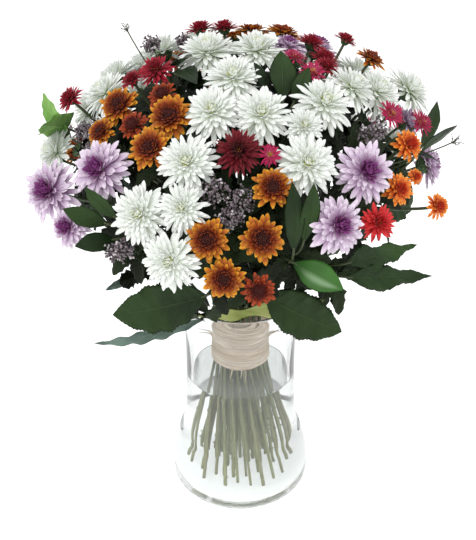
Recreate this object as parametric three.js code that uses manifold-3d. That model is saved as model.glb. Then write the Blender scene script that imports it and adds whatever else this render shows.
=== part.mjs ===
// A hand-tied dome of spray chrysanthemums, asters, foliage and sea lavender, bound with raffia,
// standing in a flared clear glass vase of water. Millimetres, +Z up, origin at the centre of the
// vase's foot. Azimuth is in degrees round the vase, 0 at the front (-Y) and positive to the right.
// Elevation is in degrees above the rim of the dome, 90 at its top.
import * as THREE from 'three';
import { mergeVertices } from 'three/addons/utils/BufferGeometryUtils.js';
import Module from 'manifold-3d';

const wasm = await Module();
wasm.setup();

// Driving dimensions
const vaseHeight = 232;
const footRadius = 76;
const footRise = 9;
const waistRadius = 55.5;
const waistHeight = 112;
const mouthRadius = 61;
const glassWall = 3.2;
const glassFloor = 9;
const waterLevel = 134;
const domeRadius = 190;
const domeHeight = 184;
const domeCentre = 294;
const neckHeight = 180;
const tieHeight = 52;
const tieThickness = 2.4;
const bundleRadius = 23.6;
const stemRadius = 2.3;
const branchRadius = 1.4;
const stemPitch = 6;
const clearance = 0.3;

// How the stems spread from the tie, per millimetre of height
const flare = 0.0064;
const twist = -0.0068;
const neckBend = 22;

const straightTop = 246;
const stemLead = 20;
const footStagger = 12;

// The solid of a head stops short of the petal tips, which bend where heads touch
const headShare = 0.74;
const headDepth = 0.5;
const calyxRadius = 3.2;
const eyeShare = 0.34;
const headGap = 0.8;

const leafArch = 0.08;
const leafThickness = 1.6;
const vaseSides = 32;
const tieSides = 24;
const stemSides = 5;
const branchSides = 3;
const headSides = 7;
const clusterSides = 5;
const leafStations = 6;
const settleRounds = 300;

const colours = {
  white: 0xe9ece0,
  lilac: 0xc79ccb,
  bronze: 0xd98a1e,
  rust: 0x7a1f12,
  orange: 0xe2702a,
  red: 0xb0182f,
  magenta: 0xc2386b,
  ruscus: 0x1f3a1e,
  serrated: 0x2b4a2c,
  long: 0x5d7468,
  pale: 0xb9bd6a,
  ivy: 0x7fae4a,
  limonium: 0x8d8191,
};

// Petal-tip radius of each kind of bloom
const bloomRadius = { white: 25.5, lilac: 26, bronze: 19, rust: 17, orange: 13, red: 15, magenta: 13.5 };

// Each spray is one cut stem. A bloom is [azimuth, elevation, size, turn towards the front, share
// of the dome's radius].
const sprays = [
  ['white', [[20, 43, 1, 0.7], [25, 53, 0.65, 0.4], [6, 57, 0.95, 0.5]]],
  ['white', [[37, 59, 1, 0.4], [66, 60, 0.95]]],
  ['white', [[80, 51, 1, 0.3], [96, 43, 1.05, 0.2, 1.09]]],
  ['white', [[-5, 69, 0.95, 0.3], [-16, 57, 0.95, 0.4]]],
  ['white', [[-16, 43, 0.95, 0.5], [-13, 33, 0.8, 0.3]]],
  ['white', [[-27, 30, 0.95, 0.7], [-17, 21, 0.92, 0.3]]],
  ['white', [[-50, 78, 1.05, 0.2], [24, 82, 1.05, 0.2]]],
  ['white', [[-82, 34, 0.95, 0.5], [-80, 52, 0.95, 0.2]]],
  ['white', [[115, 20], [121, 35], [118, 50]]],
  ['white', [[141, 20], [148, 35], [153, 50]]],
  ['white', [[167, 20], [178, 36], [-170, 52]]],
  ['white', [[-153, 20], [-139, 34], [-130, 50], [-152, 64]]],
  ['white', [[-128, 20], [-111, 36], [-108, 51], [-108, 66]]],
  ['lilac', [[39, 38, 1, 1], [25, 28, 0.92, 0.3]]],
  ['lilac', [[-46, 37, 1, 1], [-68, 24, 1.05, 1.6], [-50, 21, 0.75, 0.8]]],
  ['lilac', [[85, 78, 0.7], [122, 65, 0.95]]],
  ['lilac', [[98, 20], [103, 33, 0.9]]],
  ['lilac', [[163, 35], [-176, 20]]],
  ['bronze', [[-59, 53, 1, 0.8], [-56, 45, 0.75, 0.4]]],
  ['bronze', [[-28, 55, 1.05, 0.6], [-31, 46, 1, 0.7]]],
  ['bronze', [[-7, 29, 0.95, 0.3], [-4, 18, 0.92, 0.2]]],
  ['bronze', [[5, 27, 1, 0.3], [7, 38, 0.9, 0.3]]],
  ['bronze', [[138, 74, 1, 0.1, 1.03], [168, 78, 0.95, 0, 1.02], [-176, 68, 0.75]]],
  ['bronze', [[101, 55, 0.85, 0.3, 1.08], [136, 50]]],
  ['bronze', [[-150, 50], [-165, 35], [-166, 22]]],
  ['bronze', [[-125, 35], [-113, 19], [-98, 22]]],
  ['rust', [[-40, 60, 0.8, 0.4], [-43, 50, 0.8, 0.4]]],
  ['rust', [[4, 15, 0.85, 0.2, 0.98]]],
  ['orange', [[67, 38, 1.15, 1], [49, 31, 1.1, 1], [61, 22, 0.95, 1.2, 1.04], [60, 31, 0.6, 1]]],
  ['red', [[-63, 66, 1.1, 0.4], [-70, 60, 0.8]]],
  ['red', [[-135, 74, 1, 0, 1.04], [-158, 76, 1, 0, 1.03]]],
  ['red', [[105, 71, 1, 0, 1.02], [108, 62, 0.8, 0, 1.09], [82, 68, 0.9], [70, 66, 0.85]]],
  ['red', [[-1, 47, 1.25, 0.3]]],
  ['red', [[37, 26, 1.05, 0.7]]],
  ['red', [[-89, 43, 0.95, 0.5, 1.07], [-98, 30, 0.9]]],
  ['magenta', [[50, 67, 0.9, 0.3], [56, 74, 0.8]]],
  ['magenta', [[72, 47, 1, 0.6], [86, 37, 1, 0.6, 1.04]]],
  ['magenta', [[135, 36], [129, 22]]],
  ['magenta', [[9, 46, 0.7, 0.2]]],
];

// Each foliage stem carries leaves: from and to are [azimuth, elevation, share of the dome's radius],
// and turn is how far the leaf's face turns towards the front.
const foliage = [
  ['ruscus', [
    { from: [25, 64, 0.93], to: [32, 73, 1.07], width: 21 },
    { from: [18, 67, 0.93], to: [9, 71, 1.05], width: 11 },
    { from: [29, 62, 0.93], to: [40, 66, 1.06], width: 13 },
  ]],
  ['ruscus', [
    { from: [-75, 72, 0.93], to: [-22, 63, 1.06], width: 17 },
    { from: [-80, 70, 0.93], to: [-36, 71, 1.07], width: 13 },
  ]],
  ['ivy', [
    { from: [-91, 35, 1], to: [-71, 37.5, 1.15], width: 23, turn: 1 },
    { from: [-90, 33, 1], to: [-89, 40, 1.18], width: 17, turn: 1 },
  ]],
  ['ruscus', [
    { from: [-38, 27, 0.92], to: [-43, 32, 1.07], width: 14 },
    { from: [-40, 25, 0.93], to: [-46, 26, 1.1], width: 15 },
    { from: [-36, 22, 0.93], to: [-39, 20, 1.1], width: 15 },
  ]],
  ['ruscus', [
    { from: [14, 23, 0.92], to: [13, 38, 1.08], width: 15 },
    { from: [17, 25, 0.92], to: [18, 37, 1.1], width: 14 },
    { from: [14, 20, 0.9], to: [22, 14.5, 1.07], width: 21 },
  ]],
  ['serrated', [
    { from: [-11, 8, 0.78], to: [-30, 5, 1.03], width: 40 },
    { from: [-102, 8, 0.74], to: [-114, 4, 1.02], width: 30 },
  ]],
  ['long', [
    { from: [-17, -14, 0.6], to: [-47, -16, 0.95], width: 14 },
    { from: [-58, -6, 0.54], to: [-51, -2, 0.8], width: 8 },
  ]],
  ['serrated', [
    { from: [9, 4, 0.67], to: [28, -4, 0.9], width: 39 },
    { from: [98, 6, 0.72], to: [110, 3, 1.02], width: 32 },
  ]],
  ['serrated', [
    { from: [32, 16, 0.86], to: [41, 20.5, 1.12], width: 25 },
    { from: [33, 11, 0.84], to: [44, 12.5, 1.13], width: 23 },
  ]],
  ['ruscus', [
    { from: [90, 29, 0.98], to: [93, 37, 1.16], width: 17, turn: 0.9 },
    { from: [87, 29, 0.97], to: [81, 34, 1.18], width: 17, turn: 0.9 },
    { from: [80, 32, 0.95], to: [67, 31, 1.09], width: 14, turn: 0.9 },
  ]],
  ['pale', [
    { from: [-34, -36, 0.48], to: [31, 5, 0.71], width: 18 },
  ]],
  ['serrated', [
    { from: [130, 6, 0.7], to: [140, 2, 1.06], width: 36 },
    { from: [156, 6, 0.7], to: [164, 0, 1.04], width: 34 },
    { from: [176, 8, 0.72], to: [-172, 2, 1.06], width: 32 },
  ]],
  ['long', [
    { from: [-150, 4, 0.66], to: [-157, 0, 1.12], width: 12 },
    { from: [-138, 6, 0.66], to: [-132, 2, 1.08], width: 13 },
    { from: [-126, 4, 0.66], to: [-124, 8, 1.08], width: 12 },
  ]],
];

// Sea lavender: each branch tip is [azimuth, elevation, share of the dome's radius, size].
const sprigs = [
  [[-7, 38, 0.97, 12], [0, 36, 0.96, 11], [-3, 32, 0.95, 9]],
  [[-67, 44, 0.96, 10], [-74, 41, 0.97, 8], [-64, 39, 0.93, 8]],
  [[-31, 21, 0.97, 9], [-35, 19, 0.95, 7]],
  [[52, 46, 0.97, 12], [87, 28, 1.14, 6], [60, 46, 0.96, 9]],
  [[-105, 66, 1.04, 8], [-112, 60, 1.16, 5], [-128, 70, 1, 8]],
];

const up = new THREE.Vector3(0, 0, 1);
const towardsFront = new THREE.Vector3(0, -0.87, 0.5);

// A point at an azimuth and elevation on the dome, or at a share of the way out to it.
function domePoint(azimuth, elevation, share = 1) {
  const a = THREE.MathUtils.degToRad(azimuth);
  const e = THREE.MathUtils.degToRad(elevation);
  const x = Math.cos(e) * Math.sin(a) * domeRadius;
  const y = -Math.cos(e) * Math.cos(a) * domeRadius;
  const z = Math.sin(e) * domeHeight;
  return new THREE.Vector3(x, y, z).multiplyScalar(share).add(new THREE.Vector3(0, 0, domeCentre));
}

// The direction straight out of the dome at a point.
function domeNormal(point) {
  const z = (point.z - domeCentre) / domeHeight ** 2;
  return new THREE.Vector3(point.x / domeRadius ** 2, point.y / domeRadius ** 2, z).normalize();
}

// Puts a point back on the dome, at its own share of the radius.
function ontoDome(point, share) {
  const z = (point.z - domeCentre) / domeHeight;
  const reach = Math.hypot(point.x / domeRadius, point.y / domeRadius, z) / share;
  point.set(point.x / reach, point.y / reach, domeCentre + (z * domeHeight) / reach);
}

// A point on a stem at a height, from its place in the plane of the tie. Below and above the tie
// the stems spread in straight lines and turn, so that no two of them cross.
function stemPoint(place, height) {
  const t = height - neckHeight;
  const spread = 1 + flare * (Math.hypot(t, neckBend) - neckBend);
  const turn = twist * t;
  const x = place.x * spread - place.y * turn;
  const y = place.y * spread + place.x * turn;
  return new THREE.Vector3(x, y, height);
}

// A route through a list of points, which a section follows from point to point.
class Route extends THREE.Curve {
  constructor(points) {
    super();
    this.points = points;
  }

  getPoint(t) {
    const last = this.points.length - 1;
    const i = Math.min(Math.floor(t * last + 1e-9), last - 1);
    return this.points[i].clone().lerp(this.points[i + 1], t * last - i);
  }

  getPointAt(t) {
    return this.getPoint(t);
  }

  getTangentAt(t) {
    const last = this.points.length - 1;
    const i = Math.round(t * last);
    const before = this.points[Math.max(i - 1, 0)];
    const after = this.points[Math.min(i + 1, last)];
    return after.clone().sub(before).normalize();
  }
}

function tube(points, radius, sides) {
  const corners = [];
  for (let i = 0; i < sides; i++) {
    const angle = (i / sides) * 2 * Math.PI;
    corners.push(new THREE.Vector2(radius * Math.cos(angle), radius * Math.sin(angle)));
  }
  const section = new THREE.Shape(corners);
  return new THREE.ExtrudeGeometry(section, { steps: points.length - 1, extrudePath: new Route(points) });
}

// A closed geometry as a solid that can be joined and cut.
function solid(geometry) {
  const shell = geometry.clone();
  shell.deleteAttribute('normal');
  shell.deleteAttribute('uv');
  const welded = mergeVertices(shell, 1e-3);
  const corners = welded.index.array;
  const kept = [];
  for (let i = 0; i < corners.length; i += 3) {
    const [a, b, c] = corners.slice(i, i + 3);
    if (a !== b && b !== c && c !== a) kept.push(a, b, c);
  }
  const mesh = new wasm.Mesh({
    numProp: 3,
    vertProperties: Float32Array.from(welded.attributes.position.array),
    triVerts: Uint32Array.from(kept),
  });
  return new wasm.Manifold(mesh);
}

function joined(geometries) {
  return geometries.map(solid).reduce((whole, part) => whole.add(part));
}

const vase = new THREE.Group();

function addPiece(name, shape, colour, roughness = 0.7) {
  const { vertProperties, triVerts } = shape.getMesh();
  const geometry = new THREE.BufferGeometry();
  geometry.setAttribute('position', new THREE.BufferAttribute(vertProperties, 3));
  geometry.setIndex(new THREE.BufferAttribute(triVerts, 1));
  geometry.computeVertexNormals();
  const material = new THREE.MeshStandardMaterial({ color: colour, roughness, metalness: 0 });
  const mesh = new THREE.Mesh(geometry, material);
  mesh.name = name;
  vase.add(mesh);
}

// A solid of revolution about Z, from a profile of [radius, height].
function turned(profile, sides) {
  const points = profile.map(([r, z]) => new THREE.Vector2(r, z));
  return new THREE.LatheGeometry(points, sides).rotateX(Math.PI / 2);
}

// The vase's outer radius at a height: a wide foot, a waist, and a mouth that flares a little.
function vaseRadius(height) {
  if (height < waistHeight) {
    const t = Math.max(height - footRise, 0) / (waistHeight - footRise);
    return footRadius + (waistRadius - footRadius) * (1 - Math.cos(Math.PI * t)) / 2;
  }
  const t = (height - waistHeight) / (vaseHeight - waistHeight);
  return waistRadius + (mouthRadius - waistRadius) * t * t;
}

function addVase() {
  const outside = [[0, 0], [footRadius - 5, 0], [footRadius - 1.6, 3]];
  const inside = [[0, glassFloor], [footRadius - glassWall - 4, glassFloor]];
  for (const height of [footRise, 30, 55, 80, waistHeight, 175, vaseHeight]) {
    outside.push([vaseRadius(height), height]);
    if (height > glassFloor) inside.push([vaseRadius(height) - glassWall, height]);
  }
  const profile = [...outside, ...inside.reverse()];
  addPiece('glass_vase', solid(turned(profile, vaseSides)), 0xeef4f4, 0.05);
}

function addWater(stems) {
  const profile = [[0, glassFloor + clearance], [footRadius - glassWall - 5, glassFloor + clearance]];
  for (const height of [30, 55, 80, waistHeight, waterLevel]) {
    profile.push([vaseRadius(height) - glassWall - 2 * clearance, height]);
  }
  profile.push([0, waterLevel]);
  let water = solid(turned(profile, vaseSides));
  for (const points of stems) {
    const tip = points[0].clone().lerp(points[1], -0.003);
    const hole = tube([tip, points[1]], stemRadius + clearance, stemSides);
    water = water.subtract(solid(hole));
  }
  addPiece('water', water, 0xf2f6f4, 0.05);
}

function addTie() {
  const inner = [];
  const outer = [];
  for (const share of [-1, 0, 1]) {
    const height = neckHeight + (share * tieHeight) / 2;
    const edge = stemPoint(new THREE.Vector2(bundleRadius, 0), height);
    const radius = Math.hypot(edge.x, edge.y) + stemRadius + 2 * clearance;
    inner.unshift([radius, height]);
    outer.push([radius + tieThickness, height]);
  }
  const profile = [...outer, ...inner, outer[0]];
  addPiece('raffia_tie', solid(turned(profile, tieSides)), 0xdcc9a6, 0.9);
}

// Moves heads apart over the dome until they just touch, and clear of the leaves between them.
function settleBlooms(blooms, obstacles) {
  for (let round = 0; round < settleRounds; round++) {
    for (const bloom of blooms) {
      for (const other of [...blooms, ...obstacles]) {
        const apart = bloom.point.clone().sub(other.point);
        const room = bloom.radius + other.radius + headGap;
        if (other === bloom || apart.length() >= room) continue;
        bloom.point.addScaledVector(apart.normalize(), (room - bloom.point.distanceTo(other.point)) / 2);
        ontoDome(bloom.point, bloom.share);
      }
    }
  }
}

// Packs the stems side by side within the tie, each as near as it can be to the side it leans to.
function packStems(places) {
  for (let round = 0; round < settleRounds; round++) {
    for (const place of places) {
      for (const other of places) {
        const apart = place.clone().sub(other);
        if (other === place || apart.length() >= stemPitch) continue;
        const push = (stemPitch - apart.length()) / 2;
        place.addScaledVector(apart.normalize(), push);
      }
      place.clampLength(0, bundleRadius);
    }
  }
}

function stemPlace(point) {
  const direction = point.clone().sub(new THREE.Vector3(0, 0, domeCentre));
  const azimuth = Math.atan2(direction.x, -direction.y) + THREE.MathUtils.degToRad(stemLead);
  const lean = Math.acos(direction.z / direction.length()) / (Math.PI / 2);
  const reach = bundleRadius * Math.min(lean * 1.15, 1);
  return new THREE.Vector2(reach * Math.sin(azimuth), -reach * Math.cos(azimuth));
}

// Where a stem parts into its branches: below the middle of what it carries.
function forkOf(points, share) {
  const middle = points.reduce((sum, point) => sum.add(point), new THREE.Vector3());
  middle.divideScalar(points.length);
  ontoDome(middle, share);
  return middle;
}

function bend(from, control, to, steps) {
  return new THREE.QuadraticBezierCurve3(from, control, to).getPoints(steps);
}

// The whole stem: straight from its cut end to the tie, through it, and on to the fork.
function stemRoute(place, foot, fork) {
  const half = tieHeight / 2;
  const heights = [foot, neckHeight - half, neckHeight, neckHeight + half];
  const points = heights.map((height) => stemPoint(place, height));
  const above = stemPoint(place, straightTop);
  const before = points[points.length - 1];
  const along = above.clone().sub(before).normalize();
  const control = above.clone().addScaledVector(along, above.distanceTo(fork) * 0.5);
  return [...points, ...bend(above, control, fork, 2)];
}

function branchRoute(fork, { inside, axis }) {
  const control = inside.clone().addScaledVector(axis, -0.4 * fork.distanceTo(inside));
  return bend(fork, control, inside, 2);
}

// One bloom's head: a calyx that widens to the petals' edge, and the low cone of its eye.
function head(bloom) {
  const { radius, point, axis } = bloom;
  const depth = headDepth * radius;
  const profile = [[0, -depth], [calyxRadius, -depth], [radius, 0], [eyeShare * radius, 0.12 * radius]];
  const shape = turned([...profile, [0, 0.17 * radius]], headSides);
  shape.applyQuaternion(new THREE.Quaternion().setFromUnitVectors(up, axis));
  return shape.translate(point.x, point.y, point.z);
}

// One leaf: a thin blade along its midrib, pointed at both ends and arched outwards. Its face looks
// out of the dome, or turns from there towards the front.
function leaf({ from, to, width, turn = 0 }) {
  const start = domePoint(...from);
  const end = domePoint(...to);
  const face = domeNormal(start.clone().lerp(end, 0.5)).addScaledVector(towardsFront, turn).normalize();
  const middle = start.clone().lerp(end, 0.5).addScaledVector(face, leafArch * start.distanceTo(end));
  const midrib = new THREE.QuadraticBezierCurve3(start, middle, end);
  const blade = new THREE.SphereGeometry(1, 4, leafStations);
  const corners = blade.attributes.position;
  for (let i = 0; i < corners.count; i++) {
    const corner = new THREE.Vector3().fromBufferAttribute(corners, i);
    const t = Math.acos(THREE.MathUtils.clamp(corner.y, -1, 1)) / Math.PI;
    const round = Math.hypot(corner.x, corner.z) || 1;
    const fullness = Math.sin(Math.PI * t) ** 0.8;
    const along = midrib.getTangent(t);
    const side = face.clone().cross(along).normalize();
    const out = along.clone().cross(side);
    const place = midrib.getPoint(t);
    place.addScaledVector(side, ((corner.x / round) * fullness * width) / 2);
    place.addScaledVector(out, (corner.z / round) * fullness * leafThickness / 2);
    corners.setXYZ(i, place.x, place.y, place.z);
  }
  return blade;
}

function cluster([azimuth, elevation, share, size]) {
  const point = domePoint(azimuth, elevation, share);
  const shape = new THREE.SphereGeometry(size, clusterSides, 4).rotateX(Math.PI / 2);
  shape.applyQuaternion(new THREE.Quaternion().setFromUnitVectors(up, domeNormal(point)));
  return shape.translate(point.x, point.y, point.z);
}

// Every bloom, with its place and facing on the dome once the heads have settled.
const blooms = [];
for (const [kind, heads] of sprays) {
  for (const [azimuth, elevation, size = 1, turn = 0, share = 1] of heads) {
    const point = domePoint(azimuth, elevation, share);
    blooms.push({ kind, point, turn, share, radius: bloomRadius[kind] * headShare * size });
  }
}
const leaves = foliage.flatMap(([, blades]) => blades);
const obstacles = leaves.filter(({ from }) => from[1] > 20).map(({ from, to, width }) => {
  const point = domePoint(...from).lerp(domePoint(...to), 0.5);
  ontoDome(point, 1);
  return { point, radius: width * 0.3 };
});
for (const [azimuth, elevation, , size] of sprigs.flat()) {
  obstacles.push({ point: domePoint(azimuth, elevation), radius: size });
}
settleBlooms(blooms, obstacles);
for (const bloom of blooms) {
  bloom.axis = domeNormal(bloom.point).addScaledVector(towardsFront, bloom.turn).normalize();
}

// What each stem carries, from the sprays, the foliage and the sea lavender in turn.
const stems = [];
let next = 0;
for (const [kind, heads] of sprays) {
  const own = blooms.slice(next, next + heads.length);
  next += heads.length;
  const ends = own.map(({ point, axis, radius }) => ({
    point: point.clone().addScaledVector(axis, -headDepth * radius),
    inside: point.clone().addScaledVector(axis, -headDepth * radius * 0.8),
    axis,
  }));
  stems.push({ kind, ends, parts: own.map(head), share: 0.58 });
}
for (const [kind, blades] of foliage) {
  const ends = blades.map(({ from, to }) => {
    const point = domePoint(...from);
    const axis = domePoint(...to).sub(point).normalize();
    return { point, axis, inside: point.clone().addScaledVector(axis, 6) };
  });
  const share = Math.min(0.55, Math.min(...blades.map(({ from }) => from[2])) - 0.12);
  stems.push({ kind, ends, parts: blades.map(leaf), share });
}
for (const tips of sprigs) {
  const ends = tips.map((tip) => {
    const point = domePoint(...tip);
    const axis = domeNormal(point);
    return { point, inside: point, axis };
  });
  stems.push({ kind: 'limonium', ends, parts: tips.map(cluster), share: 0.6 });
}

const places = stems.map(({ ends }) => stemPlace(forkOf(ends.map(({ point }) => point), 1)));
packStems(places);

const counts = {};
const routes = [];
stems.forEach(({ kind, ends, parts, share }, i) => {
  const fork = forkOf(ends.map(({ point }) => point), share);
  const foot = glassFloor + 3 + ((i * 5) % footStagger);
  const stem = stemRoute(places[i], foot, fork);
  const [leader, ...laterals] = ends.map((end) => branchRoute(fork, end));
  const pieces = [tube([...stem, ...leader.slice(1)], stemRadius, stemSides)];
  for (const lateral of laterals) pieces.push(tube(lateral, branchRadius, branchSides));
  counts[kind] = (counts[kind] ?? 0) + 1;
  addPiece(`${kind}_stem_${counts[kind]}`, joined([...pieces, ...parts]), colours[kind]);
  routes.push(stem);
});
addVase();
addWater(routes);
addTie();

export default vase;
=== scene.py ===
import math
import bpy
import numpy as np
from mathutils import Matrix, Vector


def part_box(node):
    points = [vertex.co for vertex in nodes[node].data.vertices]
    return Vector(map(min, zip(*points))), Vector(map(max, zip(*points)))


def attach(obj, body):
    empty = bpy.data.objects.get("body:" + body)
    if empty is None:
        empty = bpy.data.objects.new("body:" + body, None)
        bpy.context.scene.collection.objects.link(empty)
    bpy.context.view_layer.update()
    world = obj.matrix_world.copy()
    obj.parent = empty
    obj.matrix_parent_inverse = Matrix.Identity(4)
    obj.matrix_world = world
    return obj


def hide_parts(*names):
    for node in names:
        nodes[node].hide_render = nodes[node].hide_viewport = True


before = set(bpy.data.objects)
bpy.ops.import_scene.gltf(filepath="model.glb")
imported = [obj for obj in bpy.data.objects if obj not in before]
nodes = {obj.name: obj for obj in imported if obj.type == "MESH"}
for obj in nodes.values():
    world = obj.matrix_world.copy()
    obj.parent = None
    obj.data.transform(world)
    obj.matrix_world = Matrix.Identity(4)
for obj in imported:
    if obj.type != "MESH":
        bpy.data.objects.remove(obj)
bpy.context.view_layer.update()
chance = np.random.default_rng(11)  # every chance value comes from here, so each run is the same
golden = math.pi * (3 - math.sqrt(5))
mm = 0.001

viewpoint = {"place": (-0.0025, -0.654, 0.632), "tiltDown": 30, "lens": 50.93, "sensor": 36}


def addCamera():
    lens = bpy.data.cameras.new("camera")
    lens.lens = viewpoint["lens"]
    lens.sensor_fit = "VERTICAL"
    lens.sensor_height = viewpoint["sensor"]
    lens.clip_start = 0.01
    camera = bpy.data.objects.new("camera", lens)
    camera.location = viewpoint["place"]
    camera.rotation_euler = (math.radians(90 - viewpoint["tiltDown"]), 0, 0)
    bpy.context.scene.collection.objects.link(camera)
    bpy.context.scene.camera = camera


addCamera()
print("camera ready")


class Shade:
    # one socket of a material; sums and products on it become Math nodes
    def __init__(self, finish, socket):
        self.finish = finish
        self.socket = socket

    def __add__(self, other):
        return self.finish.maths("ADD", self, other)

    def __radd__(self, other):
        return self.finish.maths("ADD", other, self)

    def __sub__(self, other):
        return self.finish.maths("SUBTRACT", self, other)

    def __rsub__(self, other):
        return self.finish.maths("SUBTRACT", other, self)

    def __mul__(self, other):
        return self.finish.maths("MULTIPLY", self, other)

    def __rmul__(self, other):
        return self.finish.maths("MULTIPLY", other, self)

    def __abs__(self):
        return self.finish.maths("ABSOLUTE", self)


class Finish:
    # a material and the ways of adding nodes to it
    def __init__(self, name):
        self.material = bpy.data.materials.new(name)
        self.material.use_nodes = True
        self.tree = self.material.node_tree
        self.tree.nodes.clear()

    def add(self, kind, settings=None, inputs=None, output=0):
        node = self.tree.nodes.new(kind)
        for key, value in (settings or {}).items():
            if key == "stops":
                while len(node.color_ramp.elements) < len(value):
                    node.color_ramp.elements.new(1)
                for stop, (place, colour) in zip(node.color_ramp.elements, value):
                    stop.position = place
                    stop.color = colour
            else:
                setattr(node, key, value)
        for key, value in (inputs or {}).items():
            if isinstance(value, Shade):
                self.tree.links.new(value.socket, node.inputs[key])
            else:
                node.inputs[key].default_value = value
        return Shade(self, node.outputs[output]) if node.outputs else None

    def maths(self, operation, first, second=0.0):
        return self.add("ShaderNodeMath", {"operation": operation}, {0: first, 1: second})

    def smooth(self, value, low, high, fromZero=0.0, toOne=1.0):
        inputs = {"Value": value, "From Min": low, "From Max": high, "To Min": fromZero, "To Max": toOne}
        return self.add("ShaderNodeMapRange", {"interpolation_type": "SMOOTHSTEP"}, inputs)

    def mix(self, factor, first, second, blend="MIX"):
        settings = {"data_type": "RGBA", "blend_type": blend}
        return self.add("ShaderNodeMix", settings, {0: factor, 6: first, 7: second}, 2)

    def ramp(self, value, stops):
        return self.add("ShaderNodeValToRGB", {"stops": stops}, {0: value})

    def uv(self, name):
        pair = self.add("ShaderNodeUVMap", {"uv_map": name})
        return [self.add("ShaderNodeSeparateXYZ", None, {0: pair}, axis) for axis in (0, 1)]

    def noise(self, scale, detail=3.0, stretch=(1, 1, 1)):
        place = self.add("ShaderNodeTexCoord", None, None, "Object")
        spot = self.add("ShaderNodeMapping", None, {"Vector": place, "Scale": stretch})
        return self.add("ShaderNodeTexNoise", None, {"Vector": spot, "Scale": scale, "Detail": detail})

    def bump(self, height, distance, strength=1.0):
        inputs = {"Height": height, "Distance": distance, "Strength": strength}
        return self.add("ShaderNodeBump", None, inputs)

    def done(self, inputs):
        surface = self.add("ShaderNodeBsdfPrincipled", None, inputs)
        self.add("ShaderNodeOutputMaterial", None, {"Surface": surface})
        return self.material


def tint(code, gain=1.0):
    # a colour from its six-digit code, as the linear values that sockets take
    parts = [int(code[i:i + 2], 16) / 255 for i in (0, 2, 4)]
    linear = [p / 12.92 if p <= 0.04045 else ((p + 0.055) / 1.055) ** 2.4 for p in parts]
    return tuple(min(p * gain, 1.0) for p in linear) + (1.0,)


class Heap:
    # gathers closed strips (petals, blades, tubes) into one piece
    def __init__(self):
        self.points = []
        self.local = []
        self.tone = []
        self.owner = []
        self.sizes = []
        self.faces = []
        self.finishes = []
        self.total = 0

    def addStrips(self, points, across, along, tone, finish, size=1, first=None):
        # points run [strip, station, corner, xyz]; corners go round each station. The finish
        # may change along the strips: first is (another finish, how many stations it covers)
        count, stations, corners = points.shape[:3]
        ring = np.arange(count * stations * corners).reshape(count, stations, corners) + self.total
        turned = np.roll(ring, -1, axis=2)
        sides = [ring[:, :-1], turned[:, :-1], turned[:, 1:], ring[:, 1:]]
        index = self.indexOf(finish)
        indices = np.full(sides[0].shape, index)
        if first:
            indices[:, :first[1]] = self.indexOf(first[0])
        self.faces.append((np.stack(sides, axis=-1).reshape(-1, 4), indices.ravel()))
        caps = np.concatenate([ring[:, 0, ::-1], ring[:, -1]])
        self.faces.append((caps, np.full(len(caps), index)))
        local = np.empty((count, stations, corners, 2))
        local[..., 0] = across
        local[..., 1] = np.asarray(along)[:, None]
        own = np.empty((count, stations, corners, 2))
        own[:] = np.asarray(tone).reshape(count, 1, 1, 2)
        owner = np.repeat(np.arange(count) + len(self.sizes), stations * corners)
        self.points.append(points.reshape(-1, 3))
        self.local.append(local.reshape(-1, 2))
        self.tone.append(own.reshape(-1, 2))
        self.owner.append(owner)
        self.sizes += [size] * count
        self.total += count * stations * corners

    def indexOf(self, finish):
        if finish not in self.finishes:
            self.finishes.append(finish)
        return self.finishes.index(finish)

    def layOut(self):
        # gives each strip its own square on the bake sheet, large ones first
        order = sorted(range(len(self.sizes)), key=lambda i: -self.sizes[i])
        side = math.ceil(math.sqrt(sum(s * s for s in self.sizes)))
        while True:
            spots = np.zeros((len(order), 3))
            x = y = row = 0
            for i in order:
                size = self.sizes[i]
                if x + size > side:
                    y += row
                    x = row = 0
                row = max(row, size)
                spots[i] = (x, y, size)
                x += size
            if y + row <= side:
                return spots / side
            side += 1

    def build(self, name, node):
        points = np.concatenate(self.points)
        mesh = bpy.data.meshes.new(name)
        mesh.vertices.add(len(points))
        mesh.vertices.foreach_set("co", points.ravel())
        corners = np.concatenate([table.ravel() for table, _ in self.faces])
        sizes = np.concatenate([np.full(len(table), table.shape[1]) for table, _ in self.faces])
        finishes = np.concatenate([indices for _, indices in self.faces])
        mesh.loops.add(len(corners))
        mesh.loops.foreach_set("vertex_index", corners)
        mesh.polygons.add(len(sizes))
        mesh.polygons.foreach_set("loop_start", np.concatenate([[0], np.cumsum(sizes)[:-1]]))
        mesh.polygons.foreach_set("material_index", finishes)
        mesh.polygons.foreach_set("use_smooth", np.ones(len(sizes), dtype=bool))
        for finish in self.finishes:
            mesh.materials.append(finish)
        local = np.concatenate(self.local)
        spots = self.layOut()[np.concatenate(self.owner)]
        sheet = spots[:, :2] + (0.06 + 0.88 * local) * spots[:, 2:]
        for title, values in (("OFBake", sheet), ("strip", local), ("tone", np.concatenate(self.tone))):
            layer = mesh.uv_layers.new(name=title)
            layer.data.foreach_set("uv", values[corners].ravel())
        mesh.update(calc_edges=True)
        mesh.validate()
        piece = bpy.data.objects.new(name, mesh)
        bpy.context.scene.collection.objects.link(piece)
        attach(piece, "root")
        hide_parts(node)


def unit(vector):
    vector = np.asarray(vector, dtype=float)
    return vector / np.maximum(np.linalg.norm(vector, axis=-1, keepdims=True), 1e-12)


def curve(stops, places):
    xs, ys = zip(*stops)
    return np.interp(places, xs, ys)


def bend(start, control, end, places):
    t = np.asarray(places)[:, None]
    return (1 - t) ** 2 * start + 2 * t * (1 - t) * control + t ** 2 * end


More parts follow.
